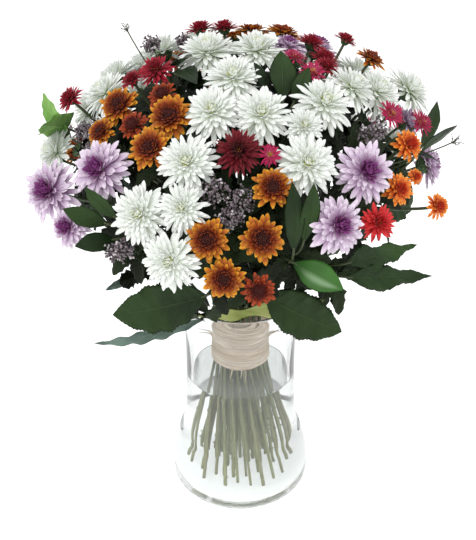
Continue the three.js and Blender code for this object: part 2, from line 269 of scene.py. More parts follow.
def framesAlong(path):
    # a side and an upper direction at each point of a path, turning as little as they can
    along = unit(np.gradient(path, axis=0))
    side = np.empty_like(path)
    last = np.array([1.0, 0, 0]) if abs(along[0][0]) < 0.8 else np.array([0, 1.0, 0])
    for i, direction in enumerate(along):
        last = unit(last - direction * (last @ direction))
        side[i] = last
    return side, np.cross(along, side)


def roundAngles(sides):
    return np.linspace(0, 2 * math.pi, sides, endpoint=False)


def aroundShare(angle):
    # runs 1, 0, 1 once round, so that both sides of a seam have the same value
    return np.abs(angle / math.pi - 1)


def addTube(heap, path, radii, sides, finish, tone=(0, 0), flat=1.0, size=1, turn=None):
    # turn gives a flat strand's side and upper directions where they are not left to the path
    path = np.asarray(path, dtype=float)
    side, upper = turn or framesAlong(path)
    angle = roundAngles(sides)
    wide = np.cos(angle)[None, :, None] * side[:, None]
    high = flat * np.sin(angle)[None, :, None] * upper[:, None]
    radii = np.broadcast_to(radii, (len(path),))
    points = path[:, None] + np.asarray(radii)[:, None, None] * (wide + high)
    heap.addStrips(points[None], aroundShare(angle), np.linspace(0, 1, len(path)), tone, finish, size)


dome = {"radius": 190 * mm, "height": 184 * mm, "centre": 294 * mm, "straightTop": 246 * mm}
headShare = 0.74  # the solid head's share of the reach of its petals

# how the solids are made: sides of a head, a ball and a blade, and what tells them apart
solids = {"headSides": 7, "ballSides": 5, "bladeSides": 4, "smallest": 5 * mm, "unevenness": 0.04,
          "ballSlack": 0.02, "weld": 20000}
tie = {"bottom": 154 * mm, "middle": 180 * mm, "top": 206 * mm, "above": 236 * mm, "cutEnd": 2 * mm}


def onDome(point, share):
    # the same direction from the dome's centre, at a share of the way out to the dome
    offset = np.asarray(point) - (0, 0, dome["centre"])
    scale = share / domeShare(point)
    return offset * scale + (0, 0, dome["centre"])


def domeShare(point):
    x, y, z = np.asarray(point) - (0, 0, dome["centre"])
    return math.sqrt((x * x + y * y) / dome["radius"] ** 2 + (z / dome["height"]) ** 2)


def domeNormal(point):
    x, y, z = np.asarray(point) - (0, 0, dome["centre"])
    return unit((x / dome["radius"] ** 2, y / dome["radius"] ** 2, z / dome["height"] ** 2))


def weld(node):
    # the corners of a solid, each once, and which corners are joined by an edge
    mesh = nodes[node].data
    raw = np.empty(len(mesh.vertices) * 3)
    mesh.vertices.foreach_get("co", raw)
    raw = raw.reshape(-1, 3)
    _, first, same = np.unique(np.round(raw * solids["weld"]).astype(int), axis=0,
                               return_index=True, return_inverse=True)
    same = same.ravel()
    joined = [set() for _ in first]
    for face in mesh.polygons:
        loop = [same[i] for i in face.vertices]
        for a, b in zip(loop, loop[1:] + loop[:1]):
            if a != b:
                joined[a].add(b)
                joined[b].add(a)
    return raw[first], joined


def ringsFrom(joined, start, depth):
    # the corners one, two and more edges away from a corner
    seen = {start}
    level = [start]
    rings = []
    for _ in range(depth):
        level = sorted({n for v in level for n in joined[v]} - seen)
        seen.update(level)
        rings.append(level)
    return rings


def ringOf(corners, level):
    # the middle and radius of a regular ring of corners, or None where it isn't one
    middle = corners[level].mean(axis=0)
    away = np.linalg.norm(corners[level] - middle, axis=1)
    if away.max() - away.min() > solids["unevenness"] * away.mean():
        return None
    return middle, away.mean()


def findBlooms(corners, joined):
    # a head's top corner has a ring round its eye and another at its rim
    blooms = []
    sides = solids["headSides"]
    for apex in range(len(corners)):
        if len(joined[apex]) != sides:
            continue
        eye, rim = ringsFrom(joined, apex, 2)
        if len(eye) != sides or len(rim) != sides:
            continue
        inner, outer = ringOf(corners, eye), ringOf(corners, rim)
        if inner is None or outer is None or outer[1] < solids["smallest"]:
            continue
        centre, radius = outer
        axis = unit(inner[0] - centre)
        blooms.append({"centre": centre, "axis": axis, "solid": radius, "reach": radius / headShare})
    return blooms


def findLeaves(corners, joined):
    # a blade's tip is followed by rings of four, a sixth of its length apart
    leaves = []
    sides = solids["bladeSides"]
    for tip in range(len(corners)):
        rings = ringsFrom(joined, tip, 4) if len(joined[tip]) == sides else []
        if [len(ring) for ring in rings[:3]] != [sides] * 3:
            continue
        spine = np.array([corners[tip]] + [corners[ring].mean(axis=0) for ring in rings[:3]])
        middle = corners[rings[2]]
        apart = np.linalg.norm(middle[:, None] - middle[None], axis=2)
        a, b = np.unravel_index(apart.argmax(), apart.shape)
        if apart[a, b] < solids["smallest"]:
            continue
        places = np.array([1, 5 / 6, 4 / 6, 3 / 6])
        curves = [np.polyfit(places, spine[:, k], 2) for k in range(3)]
        rib = lambda t, curves=curves: np.stack([np.polyval(c, t) for c in curves], axis=-1)
        if domeShare(rib(0.0)) > domeShare(rib(1.0)):
            continue
        along = unit(rib(0.52) - rib(0.48))
        side = unit(middle[a] - middle[b])
        out = np.cross(along, side)
        if out @ domeNormal(rib(0.5)) < 0:
            side = -side
            out = -out
        leaves.append({"rib": rib, "width": apart[a, b], "side": side, "out": out})
    return leaves


def findClusters(corners, joined):
    # each ball's top corner and the ring an eighth of a turn below it give its middle and size
    clusters = []
    for pole in range(len(corners)):
        rings = ringsFrom(joined, pole, 1) if len(joined[pole]) == solids["ballSides"] else [[]]
        ring = ringOf(corners, rings[0]) if rings[0] else None
        if ring is None:
            continue
        size = ring[1] * math.sqrt(2)
        drop = ring[0] - corners[pole]
        if abs(np.linalg.norm(drop) / size - (1 - math.sqrt(0.5))) > solids["ballSlack"]:
            continue
        centre = corners[pole] + unit(drop) * size
        if not any(np.linalg.norm(centre - c["centre"]) < 1 * mm for c in clusters):
            clusters.append({"centre": centre, "size": size})
    return clusters


def sliceAt(corners, joined, height):
    # the middle of a solid's cut at a height
    crossings = []
    for a, neighbours in enumerate(joined):
        for b in neighbours:
            low, high = corners[a], corners[b]
            if low[2] < height <= high[2]:
                crossings.append(low + (high - low) * (height - low[2]) / (high[2] - low[2]))
    return np.mean(crossings, axis=0) if crossings else None


def stemLine(corners, joined):
    # from the cut end, through the tie, to where the stem starts to bend
    foot = corners[:, 2].min()
    heights = [foot + tie["cutEnd"], tie["bottom"], tie["middle"], tie["top"], tie["above"]]
    line = [sliceAt(corners, joined, height) for height in heights]
    first = line[0] + (line[0] - line[1]) * tie["cutEnd"] / (tie["bottom"] - heights[0])
    top = line[3] + (line[4] - line[3]) * (dome["straightTop"] - tie["top"]) / (tie["above"] - tie["top"])
    return [first] + line[1:4] + [top]


stands = {}
for name in nodes:
    if "_stem_" in name:
        corners, joined = weld(name)
        stands[name] = {
            "kind": name.split("_")[0],
            "line": stemLine(corners, joined),
            "blooms": findBlooms(corners, joined),
            "leaves": findLeaves(corners, joined),
            "clusters": findClusters(corners, joined),
        }
counts = [sum(len(stand[key]) for stand in stands.values()) for key in ("blooms", "leaves", "clusters")]
print("frame read:", len(stands), "stems with", counts, "blooms, leaves and clusters")


# Colours run from a petal's root to its tip; "heart" is for the innermost petals
petalColours = {
    "white": {"stops": [(0, "c4cfa6"), (0.25, "dde3d3"), (0.7, "e7ece6"), (1, "eceeeb")],
              "heart": [(0, "b0bc60"), (0.5, "d6deb2"), (1, "e6ebd8")], "turn": (0.74, 1.0),
              "edge": "f2f4f2", "line": "b9c2b2", "shade": 0.16},
    "lilac": {"stops": [(0, "6e2462"), (0.25, "a66ea4"), (0.55, "ceb4d0"), (1, "e6dbe7")],
              "heart": [(0, "38062e"), (0.5, "6a1a5c"), (1, "8a4484")], "turn": (0.46, 0.72),
              "edge": "e8deea", "line": "9d6a9f", "shade": 0.28},
    "bronze": {"stops": [(0, "5e1004"), (0.35, "8e2c06"), (0.6, "ae520a"), (0.82, "c87a12"), (1, "dfa42c")],
               "heart": [(0, "2e0703"), (0.5, "5f1506"), (1, "9a400c")], "turn": (0.28, 0.62),
               "edge": "dca232", "line": "7c3407", "shade": 0.4},
    "rust": {"stops": [(0, "380804"), (0.5, "74200a"), (1, "b04416")],
             "heart": [(0, "280503"), (1, "641607")], "turn": (0.4, 0.8),
             "edge": "bd5520", "line": "3a0d05", "shade": 0.3},
    "orange": {"stops": [(0, "a81f08"), (0.45, "dc5212"), (0.8, "f0872a"), (1, "f6a548")],
               "heart": [(0, "8e1206"), (1, "c9320f")], "turn": (0.4, 0.85),
               "edge": "f8b25a", "line": "b4380a", "shade": 0.25},
    "red": {"stops": [(0, "680716"), (0.4, "940e24"), (1, "b41b38")],
            "heart": [(0, "560611"), (1, "8c0f24")], "turn": (0.5, 0.9),
            "edge": "c03450", "line": "6e0716", "shade": 0.3},
    "crimson": {"stops": [(0, "3a030b"), (0.4, "5c0713"), (1, "7a0d20")],
                "heart": [(0, "30030a"), (1, "540611")], "turn": (0.5, 0.9),
                "edge": "861c34", "line": "43040d", "shade": 0.35},
    "scarlet": {"stops": [(0, "a00c14"), (0.4, "c81a22"), (1, "e03a3e")],
                "heart": [(0, "8a0a12"), (1, "c0181f")], "turn": (0.5, 0.9),
                "edge": "e85a55", "line": "8a0a10", "shade": 0.25},
    "magenta": {"stops": [(0, "f0c9d4"), (0.22, "d9527e"), (0.6, "c3215a"), (1, "b01a50")],
                "heart": [(0, "d98aa4"), (1, "b01a50")], "turn": (0.6, 0.95),
                "edge": "d4487a", "line": "8a0f3c", "shade": 0.25},
}


petalLines = 5  # grooves along a petal
petalPaintedGlow = {"white": 0.08, "lilac": 0.05}  # a painted glow on thin pale petals; it stands for light that comes through them and lightens the shade between them


def petalFinish(kind):
    style = petalColours[kind]
    finish = Finish(kind + "_petal")
    across, along = finish.uv("strip")
    inward, own = finish.uv("tone")
    grain = finish.noise(160)
    place = along + (grain - 0.5) * 0.16 + (own - 0.5) * 0.12
    outer = finish.ramp(place, [(p, tint(c)) for p, c in style["stops"]])
    heart = finish.ramp(place, [(p, tint(c)) for p, c in style["heart"]])
    turn = finish.smooth(inward + (own - 0.5) * 0.14, *style["turn"])
    colour = finish.mix(turn, outer, heart)
    rim = finish.smooth(abs(across * 2 - 1), 0.72, 1.0) * finish.smooth(along, 0.25, 0.8) * 0.6
    colour = finish.mix(rim * (1 - turn), colour, tint(style["edge"]))
    wave = finish.maths("SINE", across * (petalLines * 2 * math.pi))
    groove = finish.smooth(wave, 0.1, 1.0) * (1 - finish.smooth(along, 0.7, 1.0))
    colour = finish.mix(groove * style["shade"], colour, tint(style["line"]))
    fade = finish.smooth(own, 0.0, 1.0, 0.9, 1.05)
    colour = finish.mix((1 - fade) * 0.6, colour, tint("6d6a52"))
    normal = finish.bump(wave * 0.5 + grain * 0.6, 0.00012, 0.5)
    inputs = {"Base Color": colour, "Roughness": 0.45 + grain * 0.25, "Normal": normal,
              "Specular IOR Level": 0.25, "Sheen Weight": 0.06, "Sheen Roughness": 0.4}
    # painted light: the pale petals glow a little, which lightens their shade
    if kind in petalPaintedGlow:
        inputs.update({"Emission Color": colour, "Emission Strength": petalPaintedGlow[kind]})
    return finish.done(inputs)


eyeColours = {
    "white": ("8f9a2c", "d8d98a"), "lilac": ("3a0a30", "7a2c6c"), "bronze": ("1c0402", "521006"),
    "rust": ("1f0504", "5a130a"), "orange": ("7a0f06", "c23a12"), "red": ("a8630c", "e8b13a"),
    "crimson": ("8a3b0c", "d98a3a"), "scarlet": ("9c3a0c", "e88a4a"), "magenta": ("a8780c", "e8c03a"),
}


def eyeFinish(kind):
    dark, light = eyeColours[kind]
    finish = Finish(kind + "_eye")
    _, along = finish.uv("strip")
    _, own = finish.uv("tone")
    grain = finish.noise(300)
    colour = finish.mix(finish.smooth(along + (own - 0.5) * 0.5, 0.3, 1.0), tint(dark), tint(light))
    colour = finish.mix(grain * 0.4, colour, tint(dark))
    normal = finish.bump(grain, 0.0002, 0.6)
    return finish.done({"Base Color": colour, "Roughness": 0.55 + grain * 0.2, "Normal": normal})


def calyxFinish():
    finish = Finish("calyx_green")
    across, along = finish.uv("strip")
    _, own = finish.uv("tone")
    grain = finish.noise(220)
    colour = finish.mix(finish.smooth(along, 0.2, 1.0), tint("31502a"), tint("5c7b45"))
    colour = finish.mix(finish.smooth(abs(across * 2 - 1), 0.6, 1.0) * 0.5, colour, tint("8ba06d"))
    colour = finish.mix(own * 0.3, colour, tint("2a4222"))
    normal = finish.bump(grain, 0.0002, 0.5)
    return finish.done({"Base Color": colour, "Roughness": 0.5 + grain * 0.3, "Normal": normal})


stemColours = {"low": "8e9466", "high": "2a3a18", "stripe": "a8ad80", "scar": "4a4228", "old": "8a7f5c"}


def stemFinish():
    # pale olive at the cut end and greener towards the flowers, with fine ribs and scars
    finish = Finish("stem_green")
    across, _ = finish.uv("strip")
    _, own = finish.uv("tone")
    height = finish.add("ShaderNodeSeparateXYZ", None,
                        {0: finish.add("ShaderNodeTexCoord", None, None, "Object")}, 2)
    spots = finish.noise(140, 4)
    patches = finish.noise(28, 2)
    rise = finish.smooth(height + (patches - 0.5) * 0.12, 0.02, 0.22)
    colour = finish.mix(rise, tint(stemColours["low"]), tint(stemColours["high"]))
    ribs = finish.maths("SINE", across * 44)
    colour = finish.mix(finish.smooth(ribs, 0.2, 1.0) * 0.35, colour, tint(stemColours["stripe"]))
    colour = finish.mix(finish.smooth(spots, 0.6, 0.74) * 0.7, colour, tint(stemColours["scar"]))
    colour = finish.mix(finish.smooth(own, 0.3, 1.0) * 0.45 * (1 - rise), colour, tint(stemColours["old"]))
    normal = finish.bump(ribs * 0.4 + spots, 0.0003, 0.6)
    return finish.done({"Base Color": colour, "Roughness": 0.42 + spots * 0.3, "Normal": normal})


# Pairs run from the outermost petal to the innermost. Lengths, widths, roots and rises are
# shares of the bloom's reach; lift and curl are degrees, curl being the turn along the petal.
strap = [(0, 0.45), (0.3, 0.78), (0.58, 1.0), (0.78, 0.96), (0.88, 0.76), (0.95, 0.46), (0.985, 0.22),
         (1, 0.06)]
pointed = [(0, 0.5), (0.35, 0.95), (0.6, 1.0), (0.8, 0.72), (0.92, 0.4), (1, 0.06)]
broad = [(0, 0.4), (0.35, 0.8), (0.6, 1.0), (0.78, 0.92), (0.9, 0.62), (0.97, 0.3), (1, 0.06)]
bloomStyles = {
    "white": {"count": 150, "length": (0.96, 0.28), "lift": (-8, 80), "curl": (-18, 40),
              "width": (0.185, 0.11), "root": (0.14, 0.02), "rise": (-0.1, 0.12), "outline": strap,
              "hollow": 0.26, "thick": 0.016, "unrest": 5, "fall": 0.9,
              "eye": {"count": 26, "spread": 0.09, "size": 0.033, "tall": 0.1, "base": 0.2, "crown": 0.03}},
    "lilac": {"count": 132, "length": (0.93, 0.28), "lift": (-8, 82), "curl": (-18, 30),
              "width": (0.215, 0.12), "root": (0.14, 0.03), "rise": (-0.1, 0.12), "outline": strap,
              "hollow": 0.34, "thick": 0.018, "unrest": 7, "fall": 0.85,
              "eye": {"count": 34, "spread": 0.13, "size": 0.035, "tall": 0.1, "base": 0.16, "crown": 0.04}},
    "bronze": {"count": 84, "length": (0.76, 0.2), "lift": (-6, 70), "curl": (-10, 30),
               "width": (0.26, 0.13), "root": (0.26, 0.22), "rise": (-0.08, 0.07), "outline": broad,
               "hollow": 0.28, "thick": 0.02, "unrest": 8, "fall": 0.8,
               "eye": {"count": 96, "spread": 0.27, "size": 0.034, "tall": 0.12, "base": 0.08,
                       "crown": 0.08}},
    "orange": {"count": 72, "length": (0.78, 0.3), "lift": (-8, 78), "curl": (-12, 20),
               "width": (0.26, 0.17), "root": (0.24, 0.06), "rise": (-0.08, 0.16), "outline": broad,
               "hollow": 0.25, "thick": 0.026, "unrest": 7, "fall": 1.0,
               "eye": {"count": 46, "spread": 0.16, "size": 0.04, "tall": 0.16, "base": 0.2, "crown": 0.06}},
    "red": {"count": 104, "length": (0.9, 0.4), "lift": (0, 72), "curl": (-12, 14),
            "width": (0.2, 0.13), "root": (0.16, 0.05), "rise": (-0.08, 0.1), "outline": pointed,
            "hollow": 0.25, "thick": 0.022, "unrest": 7, "fall": 1.0,
            "eye": {"count": 16, "spread": 0.07, "size": 0.026, "tall": 0.14, "base": 0.16, "crown": 0.03}},
    "magenta": {"count": 70, "length": (0.9, 0.44), "lift": (4, 66), "curl": (-10, 10),
                "width": (0.18, 0.13), "root": (0.18, 0.1), "rise": (-0.06, 0.08), "outline": pointed,
                "hollow": 0.22, "thick": 0.026, "unrest": 9, "fall": 1.0,
                "eye": {"count": 26, "spread": 0.12, "size": 0.034, "tall": 0.2, "base": 0.1, "crown": 0.05}},
}
bloomStyles["rust"] = dict(bloomStyles["bronze"], count=70, lift=(-2, 70))
bloomStyles["crimson"] = dict(bloomStyles["red"], count=120, length=(0.92, 0.42), width=(0.17, 0.12),
                             unrest=5)
bloomStyles["scarlet"] = dict(bloomStyles["red"], count=96, width=(0.24, 0.15))
petalStations = np.array([0, 0.14, 0.3, 0.46, 0.62, 0.76, 0.87, 0.94, 0.985, 1.0])
petalSides = np.array([1, 0.55, 0, -0.55, -1, -0.55, 0, 0.55])
petalFaces = np.array([0, 1, 1, 1, 0, -1, -1, -1])
gravity = np.array([0, 0, -1.0])


def bloomFrame(bloom):
    # the bloom's own side, upper and outward directions as the rows of a matrix
    out = bloom["axis"]
    side = unit(np.cross([0, 0, 1.0], out)) if abs(out[2]) < 0.98 else np.array([1.0, 0, 0])
    side = unit(side - out * (side @ out))
    return np.stack([side, np.cross(out, side), out])


def drawPetals(style, reach):
    # each petal's own place, size and bend, from the outermost to the innermost
    count = style["count"]
    inward = (np.arange(count) + 0.5) / count

    def spread(key, power=1.0):
        outer, inner = style[key]
        return outer + (inner - outer) * inward ** power

    azimuth = golden * np.arange(count) + chance.normal(0, 0.08, count) + chance.uniform(0, 6)
    length = reach * spread("length", style["fall"]) * chance.uniform(0.9, 1.06, count)
    lift = np.radians(spread("lift", 1.25) + chance.normal(0, style["unrest"], count))
    curl = np.radians(spread("curl") + chance.normal(0, style["unrest"], count))
    width = reach * spread("width") * chance.uniform(0.86, 1.1, count)
    sway = chance.normal(0, 0.07, count) * length
    roll = np.radians(chance.normal(0, 9, count))
    return {"inward": inward, "azimuth": azimuth, "length": length[:, None], "lift": lift,
            "curl": curl[:, None], "width": width[:, None], "sway": sway[:, None], "roll": roll,
            "root": reach * spread("root")[:, None], "rise": reach * spread("rise")[:, None],
            "own": chance.uniform(0, 1, count)}


def addPetals(heap, bloom, style, finish):
    turn, reach = bloomFrame(bloom), bloom["reach"]
    petal = drawPetals(style, reach)
    cosine, sine = np.cos(petal["azimuth"])[:, None], np.sin(petal["azimuth"])[:, None]
    radial = cosine * turn[0] + sine * turn[1]
    tangent = -sine * turn[0] + cosine * turn[1]
    lift = petal["lift"] - 0.1 * (radial @ gravity)  # petals on the low side hang a little
    s = petalStations
    step = np.diff(s, prepend=0)
    angle = lift[:, None] + petal["curl"] * (s - step / 2) ** 1.4
    out = petal["root"] + petal["length"] * np.cumsum(np.cos(angle) * step, axis=1)
    up = petal["rise"] + petal["length"] * np.cumsum(np.sin(angle) * step, axis=1)
    half = petal["width"] / 2 * curve(style["outline"], s)
    thick = reach * style["thick"] * (1 - 0.6 * s)
    x = half[:, :, None] * petalSides
    y = style["hollow"] * half[:, :, None] * petalSides ** 2
    y = y + petalFaces * thick[:, None] * (1 - 0.5 * petalSides ** 2)
    tip = petal["roll"][:, None, None] * s[None, :, None]
    x, y = x * np.cos(tip) - y * np.sin(tip), x * np.sin(tip) + y * np.cos(tip)
    x = x + (petal["sway"] * s ** 2)[:, :, None]
    far = out[:, :, None] - y * np.sin(angle)[:, :, None]
    high = up[:, :, None] + y * np.cos(angle)[:, :, None]
    points = (bloom["centre"] + far[..., None] * radial[:, None, None]
              + x[..., None] * tangent[:, None, None] + high[..., None] * turn[2])
    tone = np.stack([petal["inward"], petal["own"]], axis=1)
    heap.addStrips(points, (petalSides + 1) / 2, s, tone, finish)


floretSides = 6
eyeFloret = {"stations": np.array([0, 0.45, 0.78, 0.94, 1.0]), "girth": np.array([0.6, 0.85, 1.1, 0.7, 0.2])}


def addEye(heap, bloom, eye, finish):
    # a low cushion of small florets in the middle of the bloom
    turn, reach, count = bloomFrame(bloom), bloom["reach"], eye["count"]
    share = np.sqrt((np.arange(count) + 0.5) / count)
    azimuth = golden * np.arange(count)
    radial = np.cos(azimuth)[:, None] * turn[0] + np.sin(azimuth)[:, None] * turn[1]
    lean = 0.9 * share * chance.uniform(0.8, 1.2, count)
    axis = unit(turn[2] + lean[:, None] * radial * 0.8)
    side = unit(np.cross(axis, radial))
    upper = np.cross(axis, side)
    height = reach * (eye["base"] + eye["crown"] * (1 - share ** 2))
    foot = bloom["centre"] + reach * eye["spread"] * share[:, None] * radial
    foot = foot + (height - reach * eye["tall"])[:, None] * turn[2]
    tall = reach * eye["tall"] * chance.uniform(1.5, 2.0, count)
    stations, girth = eyeFloret["stations"], eyeFloret["girth"]
    angle = roundAngles(floretSides)
    wheel = np.cos(angle)[None, :, None] * side[:, None] + np.sin(angle)[None, :, None] * upper[:, None]
    girths = reach * eye["size"] * chance.uniform(0.8, 1.15, count)[:, None] * girth
    points = foot[:, None, None] + (tall[:, None] * stations)[..., None, None] * axis[:, None, None]
    points = points + girths[..., None, None] * wheel[:, None]
    tone = np.stack([share, chance.uniform(0, 1, count)], axis=1)
    heap.addStrips(points, aroundShare(angle), stations, tone, finish)


# shares of the bloom's reach: the cup's heights and radii, and the bracts' widths, distances and rises
calyxShape = {"cup": [(-0.42, 0.06), (-0.4, 0.13), (-0.33, 0.22), (-0.22, 0.3), (-0.12, 0.3), (-0.02, 0.24),
                      (0.1, 0.12)],
              "sides": 16, "bracts": 26, "stations": np.array([0, 0.3, 0.6, 0.85, 1.0]),
              "width": 0.055 * np.array([0.8, 1.0, 0.85, 0.45, 0.08]), "thick": 0.012,
              "away": np.array([0, 0.09, 0.13, 0.15, 0.2]), "rise": np.array([0, 0.1, 0.2, 0.27, 0.31])}


def addCalyx(heap, bloom, finish):
    # a green cup under the petals, wrapped in two rounds of small pointed bracts
    turn, reach = bloomFrame(bloom), bloom["reach"]
    cup = calyxShape["cup"]
    angle = roundAngles(calyxShape["sides"])
    wheel = np.cos(angle)[:, None] * turn[0] + np.sin(angle)[:, None] * turn[1]
    points = [bloom["centre"] + reach * z * turn[2] + reach * r * wheel for z, r in cup]
    heap.addStrips(np.array(points)[None], aroundShare(angle), np.linspace(0, 1, len(cup)),
                   (0, chance.uniform()), finish)
    count = calyxShape["bracts"]
    inner = np.arange(count) % 2
    azimuth = np.arange(count) * 2 * math.pi / count + chance.normal(0, 0.05, count)
    radial = np.cos(azimuth)[:, None] * turn[0] + np.sin(azimuth)[:, None] * turn[1]
    tangent = -np.sin(azimuth)[:, None] * turn[0] + np.cos(azimuth)[:, None] * turn[1]
    half = reach * calyxShape["width"]
    low = -0.38 + 0.1 * inner
    spreading = calyxShape["away"] * (1 + 0.2 * inner[:, None])
    away = reach * (0.17 + 0.05 * inner[:, None] + spreading)
    rise = reach * (low[:, None] + calyxShape["rise"])
    points = (bloom["centre"] + away[:, :, None, None] * radial[:, None, None]
              + (half[:, None] * petalSides)[None, :, :, None] * tangent[:, None, None]
              + rise[:, :, None, None] * turn[2]
              + (petalFaces * calyxShape["thick"] * reach)[None, None, :, None] * -radial[:, None, None])
    tone = np.stack([inner, chance.uniform(0, 1, count)], axis=1)
    heap.addStrips(points, (petalSides + 1) / 2, calyxShape["stations"], tone, finish)


def addBloom(heap, bloom, kind, finishes):
    style = bloomStyles[kind]
    addPetals(heap, bloom, style, finishes[kind])
    addEye(heap, bloom, style["eye"], finishes[kind + "_eye"])
    addCalyx(heap, bloom, finishes["calyx"])


stemShape = {"radius": (1.3 * mm, 2.1 * mm), "branch": 1.3 * mm, "twig": 0.6 * mm, "sides": 10,
             "branchSides": 7, "bendPoints": 9, "step": 9 * mm, "fork": 0.58, "limoniumFork": 0.6,
             "leafFork": 0.55, "leafDrop": 0.12, "scars": 5, "scarReach": (0.6, 2.4, 3.1, 3.6),
             "scarRadii": (1.3, 1.0, 0.8, 0.3)}


def evenly(points, step):
    # a polyline's points, resampled so that they are about one step apart
    points = np.asarray(points)
    lengths = np.concatenate([[0], np.cumsum(np.linalg.norm(np.diff(points, axis=0), axis=1))])
    places = np.linspace(0, lengths[-1], max(int(lengths[-1] / step), 3))
    return np.stack([np.interp(places, lengths, points[:, k]) for k in range(3)], axis=1)


def forkOf(points, share):
    return onDome(np.mean(points, axis=0), share)


def standEnds(stand):
    # where each branch ends, the way it points there and its radius
    branch, twig = stemShape["branch"], stemShape["twig"]
    ends = [(b["centre"] - 0.4 * b["solid"] * b["axis"], b["axis"], branch) for b in stand["blooms"]]
    for leaf in stand["leaves"]:
        start = leaf["rib"](0.0)
        axis = unit(leaf["rib"](1.0) - start)
        ends.append((start + axis * 4 * mm, axis, branch * 0.8))
    ends += [(c["centre"], domeNormal(c["centre"]), twig) for c in stand["clusters"]]
    return ends


def standFork(stand):
    # where the stem divides, between the ends of its branches
    if stand["blooms"]:
        bases = [b["centre"] - 0.5 * b["solid"] * b["axis"] for b in stand["blooms"]]
        return forkOf(bases, stemShape["fork"])
    if stand["clusters"]:
        return forkOf([c["centre"] for c in stand["clusters"]], stemShape["limoniumFork"])
    bases = [leaf["rib"](0.0) for leaf in stand["leaves"]]
    share = min(stemShape["leafFork"], min(domeShare(b) for b in bases) - stemShape["leafDrop"])
    return forkOf(bases, share)


def addStem(heap, stand, finish):
    # the stem from its cut end to the fork, its branches, and the scars of stripped leaves
    line = stand["line"]
    fork = standFork(stand)
    top = line[-1]
    control = top + unit(top - line[-2]) * np.linalg.norm(fork - top) * 0.5
    places = np.linspace(0, 1, stemShape["bendPoints"])
    lower = evenly(line, stemShape["step"])
    trunk = np.concatenate([lower, bend(top, control, fork, places)[1:]])
    girth = chance.uniform(*stemShape["radius"]) * (1 - 0.2 * np.linspace(0, 1, len(trunk)))
    knots = chance.uniform(0, 1, len(trunk)) > 0.8
    girth = girth * (1 + 0.1 * knots + chance.normal(0, 0.02, len(trunk)))
    own = chance.uniform()
    addTube(heap, trunk, girth, stemShape["sides"], finish, (0, own), size=2)
    branches = []
    for end, axis, radius in standEnds(stand):
        handle = end - axis * 0.4 * np.linalg.norm(end - fork)
        route = bend(fork, handle, end, places)
        radii = np.linspace(radius * 1.2, radius, stemShape["bendPoints"])
        addTube(heap, route, radii, stemShape["branchSides"], finish, (0, own))
        branches.append(route)
    for _ in range(stemShape["scars"]):
        i = chance.integers(1, max(len(lower) // 2, 3))
        way = unit(np.append(chance.normal(0, 1, 2), 0.8))
        spur = [lower[i] + way * d * mm for d in stemShape["scarReach"]]
        addTube(heap, spur, np.array(stemShape["scarRadii"]) * mm, 6, finish, (0, 1 - own))
    return trunk, branches


# "fold" and "wave" are shares of the width, "droop" of the length; "depth" is how far the teeth cut in
bladeStyles = {
    "ruscus": {"stations": 30, "fold": 0.16, "wave": 0.02, "waves": 2, "thick": 0.3 * mm, "droop": 0.04,
               "outline": [(0, 0.06), (0.12, 0.42), (0.3, 0.86), (0.45, 1.0), (0.62, 0.93), (0.8, 0.6),
                           (0.92, 0.26), (1, 0.02)]},
    "serrated": {"stations": 101, "fold": 0.1, "wave": 0.05, "waves": 5, "droop": 0.06,
                 "teeth": 25, "depth": 0.06,
                 "outline": [(0, 0.08), (0.08, 0.4), (0.22, 0.82), (0.4, 1.0), (0.58, 0.96), (0.76, 0.7),
                             (0.9, 0.36), (1, 0.02)]},
    "lobed": {"stations": 60, "fold": 0.2, "wave": 0.1, "waves": 3, "droop": -0.08,
              "teeth": 11, "depth": 0.09,
              "outline": [(0, 0.1), (0.1, 0.45), (0.24, 0.98), (0.34, 1.1), (0.42, 0.86), (0.52, 0.74),
                          (0.66, 0.56), (0.82, 0.3), (0.92, 0.15), (1, 0.02)]},
    "long": {"stations": 40, "fold": 0.28, "wave": 0.12, "waves": 5, "droop": 0.05,
             "teeth": 9, "depth": 0.06,
             "outline": [(0, 0.2), (0.15, 0.7), (0.4, 1.0), (0.65, 0.85), (0.85, 0.45), (1, 0.03)]},
    "pale": {"stations": 40, "fold": 0.5, "wave": 0.14, "waves": 3, "droop": -0.1,
             "outline": [(0, 0.25), (0.2, 0.8), (0.5, 1.0), (0.75, 0.85), (0.92, 0.5), (1, 0.05)]},
    "ivy": {"stations": 48, "fold": 0.12, "wave": 0.06, "waves": 3, "thick": 0.3 * mm, "droop": 0.02,
            "wider": 1.35,
            "outline": [(0, 0.3), (0.1, 0.85), (0.2, 1.15), (0.3, 0.86), (0.42, 0.78), (0.52, 0.98),
                        (0.62, 0.7), (0.8, 0.42), (0.93, 0.2), (1, 0.02)]},
    "spray": {"stations": 17, "fold": 0.2, "wave": 0.08, "waves": 2, "droop": 0.1,
              "outline": [(0, 0.08), (0.2, 0.3), (0.3, 0.85), (0.38, 0.55), (0.5, 1.0), (0.58, 0.66),
                          (0.7, 0.9), (0.78, 0.6), (0.9, 0.5), (1, 0.04)]},
}
usualBlade = {"teeth": 0, "depth": 0, "thick": 0.25 * mm, "wider": 1.06}
bladeStyles = {kind: {**usualBlade, **style} for kind, style in bladeStyles.items()}
bladeSides = np.array([1, 0.8, 0.5, 0.2, 0, -0.2, -0.5, -0.8, -1, -0.8, -0.5, -0.2, 0, 0.2, 0.5, 0.8])
bladeFaces = np.array([0, 1, 1, 1, 1, 1, 1, 1, 0, -1, -1, -1, -1, -1, -1, -1])


